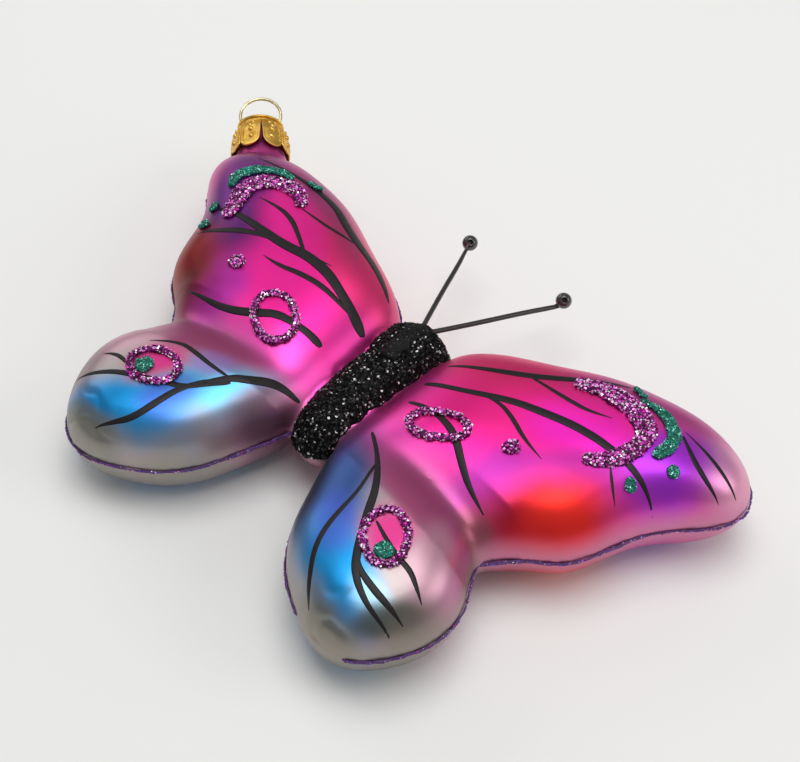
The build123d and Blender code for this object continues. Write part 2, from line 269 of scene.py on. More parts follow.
# wing side (0 both, 1 right, -1 left), middle x and y, turn, half length, half width, strength, colour
sprays = (
    # forewing, from the first coat to the last
    (0, 30, 12, 25, 52, 30, 1.0, (1.0, 0.02, 0.36)),
    (0, 20, 24, 33, 32, 13, 0.85, (0.82, 0.035, 0.16)),
    (1, 24, 12, 25, 18, 12, 0.35, (0.90, 0.02, 0.13)),
    (0, 44, 34, 22, 26, 9, 0.9, (0.52, 0.06, 0.28)),
    (1, 38, 17, 20, 15, 8, 0.85, (1.0, 0.02, 0.60)),
    (0, 7, 6, 80, 14, 8, 0.7, (0.62, 0.03, 0.28)),
    (0, 16, -5, -8, 20, 7, 0.8, (0.82, 0.07, 0.45)),
    (0, 28, -9, -14, 18, 5, 0.85, (0.40, 0.05, 0.24)),
    (1, 61, 31, 40, 11, 8, 0.85, (0.92, 0.44, 0.60)),
    (-1, 61, 36, 40, 14, 10, 0.9, (0.50, 0.05, 0.26)),
    (1, 52, 21, 60, 17, 9, 1.0, (0.40, 0.03, 0.66)),
    (0, 34, 0, 60, 14, 8, 0.85, (0.44, 0.03, 0.40)),
    (1, 44, 12, 35, 13, 6, 0.8, (0.40, 0.02, 0.30)),
    (-1, 46, 15, 40, 20, 11, 1.0, (0.11, 0.010, 0.15)),
    (-1, 52, 24, 60, 18, 10, 0.9, (0.18, 0.025, 0.25)),
    (-1, 32, 29, 28, 24, 6, 0.6, (0.36, 0.06, 0.16)),
    (1, 44, 1, 50, 19, 10, 1.0, (0.50, 0.010, 0.03)),
    (1, 46, 3, 50, 11, 6, 0.95, (1.0, 0.03, 0.02)),
    (-1, 43, 1, 50, 19, 12, 1.0, (0.16, 0.004, 0.008)),
    (-1, 50, 2, 55, 16, 9, 1.0, (0.30, 0.004, 0.006)),
    (-1, 50, -5, 50, 9, 4, 0.7, (0.75, 0.04, 0.16)),
    (0, 38, -9, 10, 8, 4, 0.8, (0.26, 0.08, 0.10)),
    # hindwing
    (0, 26, -28, -60, 30, 23, 1.0, (0.38, 0.35, 0.33)),
    (0, 27, -12, -20, 20, 7, 0.95, (0.42, 0.07, 0.20)),
    (0, 37, -19, -50, 11, 6, 0.7, (0.66, 0.38, 0.46)),
    (1, 14, -17, -55, 20, 10, 0.95, (0.02, 0.09, 0.30)),
    (1, 9, -20, -62, 14, 6, 0.9, (0.06, 0.08, 0.11)),
    (-1, 17, -19, -55, 18, 7.5, 0.95, (0.10, 0.50, 0.74)),
    (-1, 11, -29, -57, 24, 6.5, 0.9, (0.33, 0.31, 0.27)),
    (-1, 7, -13, -60, 10, 6, 0.8, (0.14, 0.09, 0.11)),
    (-1, 20, -15, -40, 8, 5, 0.7, (0.36, 0.20, 0.60)),
    (0, 26, -30, -25, 18, 8, 1.0, (0.01, 0.30, 0.70)),
    (0, 20, -24, -50, 9, 6, 0.7, (0.07, 0.12, 0.62)),
    (1, 34, -31, -10, 7, 4, 0.6, (0.40, 0.60, 0.62)),
    # the grey sprays at the hindwings' lower and outer edges are the silvered glass, darkened as painted
    # dark reflections
    (0, 29, -39, 0, 18, 4.5, 0.85, (0.30, 0.29, 0.25)),
    (1, 31, -37.5, -10, 10, 3.6, 0.8, (0.20, 0.19, 0.15)),
    (1, 38.5, -31.0, 55, 10, 3.4, 0.85, (0.09, 0.10, 0.08)),
    (-1, 30, -36, 0, 11, 3.5, 0.7, (0.20, 0.20, 0.17)),
    (0, 28, -21, -45, 8, 6, 1.0, (0.75, 0.05, 0.28)),
    (0, 42, -29, 75, 12, 5, 0.7, (0.22, 0.20, 0.16)),
)


def wingPlace(tree):
    # the wing plan in millimetres, from Object coordinates
    link = tree.links.new
    place = addNode(tree, "ShaderNodeTexCoord", -2600, 0)
    wings = addNode(tree, "ShaderNodeMapping", -2400, 0)
    wings.inputs["Location"].default_value = [-value / mm for value in origin]
    wings.inputs["Scale"].default_value = (1 / mm, 1 / mm, 1 / mm)
    link(place.outputs["Object"], wings.inputs["Vector"])
    return wings.outputs["Vector"]


def addNoise(tree, vector, scale, detail=2.0, rough=0.5, y=-600):
    field = addNode(tree, "ShaderNodeTexNoise", -1800, y)
    field.inputs["Scale"].default_value = scale
    field.inputs["Detail"].default_value = detail
    field.inputs["Roughness"].default_value = rough
    tree.links.new(vector, field.inputs["Vector"])
    return field


def mapped(tree, value, low, high, toLow, toHigh, y=0, shape="LINEAR"):
    step = addNode(tree, "ShaderNodeMapRange", -600, y, interpolation_type=shape)
    step.inputs["From Min"].default_value = low
    step.inputs["From Max"].default_value = high
    step.inputs["To Min"].default_value = toLow
    step.inputs["To Max"].default_value = toHigh
    tree.links.new(value, step.inputs["Value"])
    return step.outputs["Result"]


def mixed(tree, factor, first, second, y=0, blend="MIX"):
    step = addNode(tree, "ShaderNodeMix", -300, y, data_type="RGBA", blend_type=blend)
    for value, socket in ((factor, "Factor"), (first, "A"), (second, "B")):
        if isinstance(value, (float, int)):
            step.inputs[socket].default_value = value
        elif isinstance(value, tuple):
            step.inputs[socket].default_value = (*value, 1)
        else:
            tree.links.new(value, step.inputs[socket])
    return step.outputs["Result"]


def bumped(tree, shader, height, strength, distance, y=-900):
    bump = addNode(tree, "ShaderNodeBump", 500, y)
    bump.inputs["Strength"].default_value = strength
    bump.inputs["Distance"].default_value = distance * mm
    tree.links.new(height, bump.inputs["Height"])
    tree.links.new(bump.outputs["Normal"], shader.inputs["Normal"])


def lacquerMaterial():
    made, tree, out = newMaterial("sprayedLacquer")
    link = tree.links.new
    place = wingPlace(tree)

    # slow wobble, so that the sprayed edges aren't perfect ovals
    wobble = addNoise(tree, place, lacquer["wobbleScale"])
    centred = addNode(tree, "ShaderNodeVectorMath", -1600, -600, operation="SUBTRACT")
    centred.inputs[1].default_value = (0.5, 0.5, 0.5)
    link(wobble.outputs["Color"], centred.inputs[0])
    pushed = addNode(tree, "ShaderNodeVectorMath", -1500, -600, operation="MULTIPLY")
    pushed.inputs[1].default_value = (lacquer["wobble"], lacquer["wobble"], 0)
    link(centred.outputs[0], pushed.inputs[0])
    wavy = addNode(tree, "ShaderNodeVectorMath", -1400, 0, operation="ADD")
    link(place, wavy.inputs[0])
    link(pushed.outputs[0], wavy.inputs[1])
    apart = addNode(tree, "ShaderNodeSeparateXYZ", -1300, 0)
    link(wavy.outputs[0], apart.inputs[0])
    outward = addNode(tree, "ShaderNodeMath", -1200, 100, operation="ABSOLUTE")
    link(apart.outputs["X"], outward.inputs[0])
    plan = addNode(tree, "ShaderNodeCombineXYZ", -1100, 0)
    link(outward.outputs[0], plan.inputs["X"])
    link(apart.outputs["Y"], plan.inputs["Y"])

    colour = lacquer["base"]
    for step, (side, x, y, turn, length, width, strength, tint) in enumerate(sprays):
        spot = addNode(tree, "ShaderNodeGroup", -900, -260 * step, node_tree=sprayedSpot)
        spot.inputs["Middle"].default_value = (x * (side or 1), y, 0)
        spot.inputs["Turn"].default_value = -math.radians(turn if side >= 0 else 180 - turn)
        spot.inputs["Size"].default_value = (length, width, 1)
        spot.inputs["Strength"].default_value = strength
        link(wavy.outputs[0] if side else plan.outputs[0], spot.inputs["Place"])
        colour = mixed(tree, spot.outputs["Mask"], colour, tint, -260 * step)

    # the silver shows through at the turned edges of the right wing pair only, and the paler, greyer colour
    # there is partly a painted sheen of reflected light
    level = addNode(tree, "ShaderNodeSeparateXYZ", -1300, 400)
    link(place, level.inputs[0])
    height = addNode(tree, "ShaderNodeMath", -900, 400, operation="ABSOLUTE")
    link(level.outputs["Z"], height.inputs[0])
    edge = mapped(tree, height.outputs[0], *lacquer["rimHeight"], 0.0, 1.0, 400, "SMOOTHSTEP")
    across = lacquer["rimSides"]
    sides = mapped(tree, apart.outputs["X"], -across, across, *lacquer["rimShare"], 500, "SMOOTHSTEP")
    shown = addNode(tree, "ShaderNodeMath", -450, 450, operation="MULTIPLY")
    link(edge, shown.inputs[0])
    link(sides, shown.inputs[1])
    behind = mapped(tree, apart.outputs["Y"], *lacquer["rimChange"], 0.0, 1.0, 600, "SMOOTHSTEP")
    silverAndSheen = mixed(tree, behind, lacquer["foreRim"], lacquer["hindRim"], 600)
    colour = mixed(tree, shown.outputs[0], colour, silverAndSheen, 400)

    # the gloss varies slowly, and the sprayed skin has a fine peel
    shader = addNode(tree, "ShaderNodeBsdfPrincipled", 800, 0)
    shader.inputs["Metallic"].default_value = lacquer["metallic"]
    shader.inputs["Coat Weight"].default_value = lacquer["coat"]
    shader.inputs["Coat Roughness"].default_value = lacquer["coatRoughness"]
    link(colour, shader.inputs["Base Color"])
    smooth, rough = lacquer["roughness"] - 0.06, lacquer["roughness"] + 0.08
    link(mapped(tree, wobble.outputs["Fac"], 0, 1, smooth, rough, 700), shader.inputs["Roughness"])
    peel = addNoise(tree, place, lacquer["peelScale"], 3.0)
    bumped(tree, shader, peel.outputs["Fac"], 0.06, 0.05)
    link(shader.outputs["BSDF"], out.inputs["Surface"])
    return made


def paintMaterial():
    made, tree, out = newMaterial("blackPaint")
    place = wingPlace(tree)
    shader = addNode(tree, "ShaderNodeBsdfPrincipled", 800, 0)
    bristle = addNoise(tree, place, 2.2, 3.0)
    shader.inputs["Specular IOR Level"].default_value = 0.25
    colour = mixed(tree, bristle.outputs["Fac"], (0.006, 0.005, 0.006), (0.018, 0.013, 0.016))
    tree.links.new(colour, shader.inputs["Base Color"])
    gloss = mapped(tree, bristle.outputs["Fac"], 0.3, 0.7, 0.34, 0.5, 200)
    tree.links.new(gloss, shader.inputs["Roughness"])
    bumped(tree, shader, bristle.outputs["Fac"], 0.1, 0.03)
    tree.links.new(shader.outputs["BSDF"], out.inputs["Surface"])
    return made


def glitterMaterial(name, glue, tones, metallic, roughness, specular):
    # colour stops along each flake's own random number: the flake's own tone, and for the palest stops a
    # painted glint
    made, tree, out = newMaterial(name)
    link = tree.links.new
    tone = addNode(tree, "ShaderNodeAttribute", -1200, 0, attribute_name="flakeToneAndGlint")
    ramp = addNode(tree, "ShaderNodeValToRGB", -900, 0)
    ramp.color_ramp.interpolation = "CONSTANT"
    while len(ramp.color_ramp.elements) < len(tones):
        ramp.color_ramp.elements.new(0.5)
    for stop, (start, colour) in zip(ramp.color_ramp.elements, tones):
        stop.position = start
        stop.color = (*colour, 1)
    link(tone.outputs["Fac"], ramp.inputs["Fac"])
    place = wingPlace(tree)
    grain = addNoise(tree, place, 3.0, 2.0)
    isFlake = mapped(tree, tone.outputs["Fac"], 0.0, 0.01, 0.0, 1.0, 300)
    glueColour = mixed(tree, grain.outputs["Fac"], tuple(value * 0.6 for value in glue), glue, 500)
    colour = mixed(tree, isFlake, glueColour, ramp.outputs["Color"], 300)
    shader = addNode(tree, "ShaderNodeBsdfPrincipled", 800, 0)
    shader.inputs["Specular IOR Level"].default_value = specular
    link(colour, shader.inputs["Base Color"])
    shine = mapped(tree, isFlake, 0, 1, 0.0, metallic, 700)
    link(shine, shader.inputs["Metallic"])
    rough = mapped(tree, isFlake, 0, 1, 0.6, roughness, 900)
    link(rough, shader.inputs["Roughness"])
    bumped(tree, shader, grain.outputs["Fac"], 0.2, 0.1)
    link(shader.outputs["BSDF"], out.inputs["Surface"])
    return made


def metalMaterial(name, bright, dull, roughness, grainScale, grainDepth):
    made, tree, out = newMaterial(name)
    link = tree.links.new
    place = wingPlace(tree)
    shader = addNode(tree, "ShaderNodeBsdfPrincipled", 800, 0)
    shader.inputs["Metallic"].default_value = 1.0
    grain = addNoise(tree, place, grainScale, 3.0)
    cloud = addNoise(tree, place, 0.6, 2.0)
    colour = mixed(tree, mapped(tree, cloud.outputs["Fac"], 0.35, 0.65, 0, 1, 300), dull, bright)
    link(colour, shader.inputs["Base Color"])
    rough = mapped(tree, cloud.outputs["Fac"], 0.3, 0.7, roughness + 0.08, roughness, 500)
    link(rough, shader.inputs["Roughness"])
    bumped(tree, shader, grain.outputs["Fac"], 0.35, grainDepth)
    link(shader.outputs["BSDF"], out.inputs["Surface"])
    return made


def enamelMaterial(name, dark, light, roughness, coat):
    made, tree, out = newMaterial(name)
    link = tree.links.new
    place = wingPlace(tree)
    shader = addNode(tree, "ShaderNodeBsdfPrincipled", 800, 0)
    shader.inputs["Coat Weight"].default_value = coat
    shader.inputs["Coat Roughness"].default_value = 0.05
    cloud = addNoise(tree, place, 1.2, 3.0)
    link(mixed(tree, cloud.outputs["Fac"], dark, light), shader.inputs["Base Color"])
    rough = mapped(tree, cloud.outputs["Fac"], 0.3, 0.7, roughness, roughness + 0.12, 500)
    link(rough, shader.inputs["Roughness"])
    bumped(tree, shader, cloud.outputs["Fac"], 0.1, 0.05)
    link(shader.outputs["BSDF"], out.inputs["Surface"])
    return made


# The blown glass figure

glass = {
    "voxel": 0.53,
    "softSteps": 8,
    "valley": ((38.9, -9.6), (24.0, -7.5), (8.0, -4.5)),
    "valleyReach": 7.0,
    "valleySteps": 90,
    # folds left in the glass at the hindwings' blunt corners: x, y, reach, depth
    "folds": ((29.0, -37.0, 7.0, 0.7), (33.0, -34.0, 5.0, 0.35)),
    "foldsAbove": 0.8,
    "foldScale": 0.16,
    "creaseWidth": 0.16,
    "creaseShare": 0.6,
    "waveShare": 0.7,
    "neckReach": 8.0,
    "neckTurn": 0.25,
    "neckBore": 3.2,
    "boreDepth": 14.0,
    "wall": 0.9,
}

# the neck's axis and the cap's top, from the hanging loop's mount
mount = frame["record"]["mounts"][0]
neckAxis = Vector(mount["axis"]).normalized()
neckLevel = Vector((neckAxis.y, -neckAxis.x, 0)).normalized()
loopInsideTop = 6.65
capTop = Vector(mount["pos_m"]) - neckAxis * loopInsideTop * mm
capTopMetal = 0.4
neckTurned = Matrix((neckLevel, neckAxis.cross(neckLevel), neckAxis)).transposed().to_4x4()
neckFrame = Matrix.Translation(capTop) @ neckTurned


def distanceToPath(x, y, path):
    best = 1e9
    for (ax, ay), (bx, by) in zip(path, path[1:]):
        dx, dy = bx - ax, by - ay
        share = ((x - ax) * dx + (y - ay) * dy) / (dx * dx + dy * dy)
        share = min(1, max(0, share))
        best = min(best, math.hypot(x - ax - dx * share, y - ay - dy * share))
    return best


def smoothVerts(bm, verts, steps):
    for step in range(steps):
        bmesh.ops.smooth_vert(bm, verts=verts, factor=0.5, use_axis_x=True, use_axis_y=True, use_axis_z=True)


def foldGlass(bm):
    bm.normal_update()
    for vert in bm.verts:
        place = (vert.co - origin) / mm
        if place.z < glass["foldsAbove"]:
            continue
        for x, y, reach, depth in glass["folds"]:
            away = math.hypot(abs(place.x) - x, place.y - y) / reach
            if away < 1:
                wave = noise.noise(place * glass["foldScale"])
                crease = math.exp(-(wave / glass["creaseWidth"]) ** 2)
                dent = crease * glass["creaseShare"] - wave * glass["waveShare"]
                vert.co -= vert.normal * dent * depth * (1 - away * away) ** 2 * mm


def openNeck(bm):
    # cut the neck square, then turn its end in and down the bore
    end = capTop - neckAxis * capTopMetal * mm
    cut = end - neckAxis * glass["neckTurn"] * mm

    def nearEnd(verts):
        return all((vert.co - end).length < glass["neckReach"] * mm for vert in verts)

    around = [vert for vert in bm.verts if nearEnd([vert])]
    faces = [face for face in bm.faces if nearEnd(face.verts)]
    edges = [edge for edge in bm.edges if nearEnd(edge.verts)]
    made = bmesh.ops.bisect_plane(
        bm, geom=around + edges + faces, dist=0.001 * mm, plane_co=cut, plane_no=neckAxis, clear_outer=True)
    ring = [edge for edge in made["geom_cut"] if isinstance(edge, bmesh.types.BMEdge)]

    def grow(ring, radius, along):
        made = bmesh.ops.extrude_edge_only(bm, edges=ring)
        fresh = [vert for vert in made["geom"] if isinstance(vert, bmesh.types.BMVert)]
        for vert in fresh:
            away = vert.co - capTop
            side = (away - neckAxis * away.dot(neckAxis)).normalized()
            vert.co = end + side * radius * mm + neckAxis * along * mm
        return [edge for edge in made["geom"] if isinstance(edge, bmesh.types.BMEdge) and edge.is_boundary]

    bore = glass["neckBore"]
    ring = grow(ring, bore + glass["wall"] * 0.75, 0.0)
    ring = grow(ring, bore + glass["wall"] * 0.25, 0.0)
    ring = grow(ring, bore, -glass["neckTurn"])
    ring = grow(ring, bore, -glass["boreDepth"])
    bmesh.ops.holes_fill(bm, edges=ring)


def makeGlass(material):
    bm = cadCopy("glass_figure")
    # the neck's end ring comes out, which parts the outer skin from the inner one
    reach = max(vert.co.dot(neckAxis) for vert in bm.verts)
    ring = [
        face for face in bm.faces
        if all(reach - vert.co.dot(neckAxis) < 0.02 * mm for vert in face.verts)]
    bmesh.ops.delete(bm, geom=ring, context="FACES")
    seed = min(bm.verts, key=lambda vert: vert.co.z)
    outer = {seed}
    front = [seed]
    while front:
        vert = front.pop()
        for side in vert.link_edges:
            other = side.other_vert(vert)
            if other not in outer:
                outer.add(other)
                front.append(other)
    bmesh.ops.delete(bm, geom=[vert for vert in bm.verts if vert not in outer], context="VERTS")
    bmesh.ops.holes_fill(bm, edges=[side for side in bm.edges if side.is_boundary])
    bm = remeshed(bm, glass["voxel"] * mm)
    smoothVerts(bm, bm.verts, glass["softSteps"])
    valley = []
    for vert in bm.verts:
        place = (vert.co - origin) / mm
        if distanceToPath(abs(place.x), place.y, glass["valley"]) < glass["valleyReach"]:
            valley.append(vert)
    smoothVerts(bm, valley, glass["valleySteps"])
    foldGlass(bm)
    openNeck(bm)
    bmesh.ops.recalc_face_normals(bm, faces=bm.faces)
    tree = BVHTree.FromBMesh(bm)
    piece = newPiece("glassFigure", bm, material)
    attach(piece, "figure")
    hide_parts("glass_figure")
    print("glass skin", len(piece.data.vertices), "valley", len(valley))
    return piece, tree


glassFigure, glassTree = makeGlass(lacquerMaterial())


# Painted veins in millimetres of the plan: side, widest width, shares of it at the tip and at the root,
# and points from the tip to the root
veins = {
    "leftLeading": (-1, 2.0, 0.15, 0.2, (
        (55.3, 30.8), (44.0, 31.8), (33.5, 31.0), (28.3, 28.4), (22.9, 26.4), (17.4, 24.8),
        (12.9, 22.7), (9.8, 20.7))),
    "leftLeadingFork": (-1, 0.8, 0.3, 0.6, (
        (36.3, 24.6), (31.1, 24.4), (26.7, 24.9), (23.4, 25.6))),
    "leftMiddle": (-1, 2.3, 0.4, 0.95, (
        (49.5, 14.7), (44.3, 15.3), (38.0, 15.1), (31.6, 15.0), (26.0, 16.0), (20.0, 15.3),
        (15.6, 13.8), (11.4, 12.5), (8.2, 11.3))),
    "leftMiddleOuter": (-1, 1.5, 0.12, 0.7, (
        (48.6, 7.7), (44.8, 9.4), (41.0, 12.2), (36.5, 14.4), (32.5, 15.0))),
    "leftMiddleCurl": (-1, 1.1, 0.1, 0.7, (
        (44.9, 21.3), (39.9, 21.9), (35.3, 20.9), (31.5, 18.7), (27.5, 16.2))),
    "leftTwig": (-1, 0.7, 0.1, 0.5, (
        (21.0, 17.2), (24.1, 16.5), (27.5, 16.0))),
    "leftSecond": (-1, 1.3, 0.1, 0.5, (
        (32.6, 10.4), (28.9, 10.3), (23.9, 11.7), (18.8, 12.3), (14.1, 11.9), (10.4, 11.9))),
    "leftRing": (-1, 1.8, 0.12, 0.95, (
        (38.8, -3.8), (32.4, -3.8), (27.7, -2.7), (23.9, -0.8), (20.3, 1.6), (16.7, 2.3), (13.1, 2.8),
        (10.6, 2.8))),
    "leftHindUpper": (-1, 1.0, 0.12, 0.5, (
        (32.8, -18.1), (28.6, -14.7), (24.3, -14.6), (20.0, -14.9), (15.7, -14.6))),
    "leftHindStem": (-1, 1.9, 0.5, 0.4, (
        (18.0, -18.6), (15.7, -14.6), (13.0, -12.3), (10.5, -9.5), (8.3, -8.2), (6.1, -7.2))),
    "leftHindMiddle": (-1, 1.3, 0.12, 0.7, (
        (39.5, -32.0), (35.9, -30.0), (31.5, -27.0), (26.8, -24.9), (22.9, -22.9), (20.0, -21.7),
        (17.2, -18.3), (14.9, -15.4))),
    "leftHindLower": (-1, 1.35, 0.12, 0.6, (
        (27.2, -36.3), (23.8, -33.6), (21.9, -30.9), (21.0, -27.1), (20.3, -22.9), (18.6, -19.0),
        (17.6, -17.6))),
    "leftHindOuter": (-1, 0.9, 0.12, 0.5, (
        (37.5, -25.3), (35.5, -24.2), (32.4, -24.3), (30.0, -24.9))),
    "rightLeading": (1, 1.5, 0.12, 0.35, (
        (38.3, 32.3), (34.2, 29.5), (29.5, 25.5), (23.8, 21.0), (16.8, 17.3), (10.2, 15.1))),
    "rightLeadingFork": (1, 0.9, 0.12, 0.5, (
        (40.5, 22.9), (36.7, 21.4), (32.9, 21.1), (28.9, 21.0), (23.6, 21.0))),
    "rightTipUpper": (1, 0.8, 0.1, 0.3, (
        (51.1, 29.7), (56.6, 28.8), (61.0, 28.0), (64.0, 27.6))),
    "rightTip": (1, 1.1, 0.4, 0.12, (
        (51.5, 28.5), (55.3, 25.9), (58.9, 24.6), (62.6, 24.4))),
    "rightMiddle": (1, 1.7, 0.12, 0.7, (
        (55.6, 15.4), (52.6, 16.4), (48.7, 17.1), (44.6, 17.4), (40.8, 17.5), (36.1, 17.1),
        (31.0, 15.9), (25.5, 14.4), (20.6, 12.2), (15.9, 10.3), (10.1, 9.1))),
    "rightMiddleCurl": (1, 0.9, 0.12, 0.6, (
        (37.0, 7.8), (32.8, 8.8), (28.1, 11.2), (24.4, 12.5), (20.6, 12.2))),
    "rightCrescent": (1, 0.7, 0.1, 0.4, (
        (50.8, 10.6), (48.7, 12.3), (46.3, 14.7))),
    "rightRing": (1, 1.45, 0.12, 0.6, (
        (35.9, -5.7), (31.6, -4.3), (26.6, -0.9), (24.0, 1.2), (20.6, 3.0), (15.6, 3.9), (11.1, 3.6))),
    "rightHindMiddle": (1, 1.5, 0.12, 0.5, (
        (39.8, -32.0), (35.3, -32.1), (32.1, -31.2), (28.8, -29.2), (26.7, -26.4), (24.4, -22.6),
        (22.1, -18.6), (20.6, -15.6), (17.9, -12.0), (14.3, -8.4), (10.4, -5.4))),
    "rightHindFork": (1, 1.3, 0.12, 0.6, (
        (39.6, -29.6), (36.6, -29.6), (33.0, -29.4), (29.0, -28.4), (27.0, -26.8))),
    "rightHindLower": (1, 0.95, 0.12, 0.6, (
        (26.2, -37.2), (24.6, -35.7), (22.6, -33.1), (20.5, -29.9), (19.3, -26.0), (18.8, -21.7),
        (18.4, -17.1), (16.6, -11.3))),
    "rightHindRing": (1, 1.05, 0.12, 0.5, (
        (39.8, -25.4), (37.7, -24.3), (35.2, -23.0), (32.1, -22.7), (28.5, -21.4), (25.0, -19.9))),
}
paint = {"lift": 0.08, "body": 0.07, "sides": 3, "swell": 0.6, "endLength": 0.35, "endShare": 0.4}


def splineMesh(name, points, radius, radii=None, smooth=True, sides=3):
    # a round stroke or wire through points, as a closed mesh
    curve = bpy.data.curves.new(name, "CURVE")
    curve.dimensions = "3D"
    curve.bevel_depth = radius
    curve.bevel_resolution = sides
    curve.use_fill_caps = True
    line = curve.splines.new("NURBS" if smooth else "POLY")
    line.points.add(len(points) - 1)
    for index, point in enumerate(points):
        line.points[index].co = (*point, 1)
        line.points[index].radius = radii[index] if radii else 1
    if smooth:
        line.order_u = 3
        line.use_endpoint_u = True
        line.resolution_u = 8
    thing = bpy.data.objects.new(name, curve)
    mesh = bpy.data.meshes.new_from_object(thing)
    bpy.data.objects.remove(thing)
    bpy.data.curves.remove(curve)
    return mesh


def glassHeight(x, y):
    hit = glassTree.ray_cast(Vector((x, y, 0.2)), Vector((0, 0, -1)))
    return hit[0]


def paintVeins(material):
    bm = bmesh.new()
    for name, (side, width, first, last, points) in veins.items():
        count = len(points)
        radii = []
        for index in range(count):
            share = index / (count - 1)
            swell = max(0, math.sin(math.pi * share)) ** paint["swell"]
            radii.append(max(swell, first + (last - first) * share))
        radii[0], radii[-1] = first, last
        flat = [Vector((side * x, y, 0)) for x, y in points]
        # a blunt end is drawn out into a round one
        flat.append(flat[-1] + (flat[-1] - flat[-2]).normalized() * width * last * paint["endLength"])
        radii.append(last * paint["endShare"])
        stroke = [tuple(point * mm + Vector((origin.x, origin.y, 0))) for point in flat]
        mesh = splineMesh(name, stroke, width / 2 * mm, radii, sides=paint["sides"])
        work = bmesh.new()
        work.from_mesh(mesh)
        bpy.data.meshes.remove(mesh)
        bmesh.ops.remove_doubles(work, verts=work.verts, dist=0.001 * mm)
        half = width / 2 * mm
        for vert in work.verts:
            under = glassHeight(vert.co.x, vert.co.y)
            level = max(-1, min(1, vert.co.z / half))
            base = under.z if under else origin.z
            vert.co.z = base + (paint["lift"] * 0.5 + paint["body"] * level) * mm
        mesh = bpy.data.meshes.new(name)
        work.to_mesh(mesh)
        work.free()
        bm.from_mesh(mesh)
        bpy.data.meshes.remove(mesh)
    bmesh.ops.recalc_face_normals(bm, faces=bm.faces)
    piece = newPiece("paintedVeins", bm, material)
    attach(piece, "figure")
    return piece


paintVeins(paintMaterial())
print("veins painted")


# Glitter: a rounded bed of glue with many small flakes in it

# each kind's palest flake colours, near white, are painted glints standing in for light caught by the
# flakes; the darker stops are the flakes' own tones
glitterKinds = {
    "black": {
        "slot": "black_glitter", "glue": (0.002, 0.002, 0.002),
        "metallic": 0.0, "roughness": 0.3, "specular": 0.12,
        "tones": ((0.0, (0.002, 0.002, 0.002)), (0.55, (0.008, 0.008, 0.009)), (0.82, (0.05, 0.05, 0.05)),
                  (0.94, (0.35, 0.34, 0.34)), (0.975, (0.90, 0.88, 0.86))),
    },
    "glue": {
        "slot": "black_glitter", "glue": (0.003, 0.003, 0.003),
        "metallic": 0.0, "roughness": 0.3, "specular": 0.2,
        "tones": ((0.0, (0.002, 0.002, 0.002)), (0.5, (0.01, 0.01, 0.01)), (0.9, (0.10, 0.10, 0.10)),
                  (0.98, (0.60, 0.60, 0.60))),
    },
    "pink": {
        "slot": "pink_glitter", "glue": (0.10, 0.003, 0.07),
        "metallic": 0.4, "roughness": 0.25, "specular": 0.3,
        "tones": ((0.0, (0.06, 0.001, 0.045)), (0.2, (0.42, 0.01, 0.30)), (0.4, (0.85, 0.09, 0.66)),
                  (0.64, (1.0, 0.42, 0.92)), (0.84, (1.0, 0.92, 1.0))),
    },
    "teal": {
        "slot": "teal_glitter", "glue": (0.004, 0.12, 0.09),
        "metallic": 0.3, "roughness": 0.3, "specular": 0.4,
        "tones": ((0.0, (0.002, 0.08, 0.055)), (0.25, (0.01, 0.26, 0.18)), (0.6, (0.05, 0.50, 0.38)),
                  (0.86, (0.45, 0.95, 0.80))),
    },
    "purple": {
        "slot": "purple_glitter", "glue": (0.13, 0.05, 0.20),
        "metallic": 0.3, "roughness": 0.3, "specular": 0.4,
        "tones": ((0.0, (0.06, 0.02, 0.12)), (0.22, (0.26, 0.08, 0.36)), (0.5, (0.70, 0.06, 0.52)),
                  (0.66, (0.14, 0.12, 0.75)), (0.8, (0.42, 0.32, 0.60)), (0.93, (0.95, 0.75, 1.0))),
    },
}

# a node, or a pair of them: kind, bed voxel, smoothing steps, flake size, flakes per square millimetre,
# and how far they stand out
glitterBeds = {
    "body_glitter_coat": ("black", 0.42, 6, 0.42, 9.0, 0.10),
    "antenna_glue": ("glue", 0.30, 5, 0.26, 3.5, 0.02),
    "forewing_ring": ("pink", 0.2, 3, 0.36, 9.0, 0.22),
    "forewing_pink_dot": ("pink", 0.2, 3, 0.36, 9.0, 0.2),
    "forewing_pink_crescent": ("pink", 0.25, 3, 0.4, 8.0, 0.14),
    "forewing_teal_crescent": ("teal", 0.22, 3, 0.26, 14.0, 0.05),
    "forewing_teal_dots": ("teal", 0.20, 3, 0.24, 14.0, 0.05),
    "hindwing_ring": ("pink", 0.2, 3, 0.36, 9.0, 0.22),
    "hindwing_teal_dot": ("teal", 0.22, 3, 0.26, 14.0, 0.05),
    "rim_glitter": ("purple", 0.22, 4, 0.24, 7.0, 0.02),
}


# how the glue was laid by hand, and how the flakes lie in it, in millimetres
glueLine = {"grit": 0.05, "swayScale": 0.45, "sway": 0.3, "lumpScale": 0.8, "lump": 0.2, "hidden": 0.22}
flakeLay = {"corner": 0.62, "thickness": 0.16, "lean": 0.42, "smallest": 0.75, "largest": 1.2, "sunk": -0.2}

# the rim's trail is pressed to the seam, thick and thin by turns, and missing at one corner: x, y, reach
rimTrail = {
    "press": 0.62,
    "thin": 0.42,
    "thick": 1.0,
    "drift": 0.09,
    "bare": (28.5, -39.5, 6.5),
    "sink": 1.2,
    "inward": 9.0,
}


def pressRim(bm):
    for vert in bm.verts:
        near = glassTree.find_nearest(vert.co)[0]
        place = (vert.co - origin) / mm
        share = min(1, max(0, 0.5 + noise.noise(place * rimTrail["drift"])))
        tall = rimTrail["thin"] + (rimTrail["thick"] - rimTrail["thin"]) * share
        vert.co = near + (vert.co - near) * rimTrail["press"]
        vert.co.z = origin.z + (vert.co.z - origin.z) * tall
        x, y, reach = rimTrail["bare"]
        away = math.hypot(place.x - x, place.y - y) / reach
        if away < 1:
            inward = (wingPoint(x, y + rimTrail["inward"]) - vert.co).normalized()
            vert.co += inward * rimTrail["sink"] * (1 - away ** 4) * mm


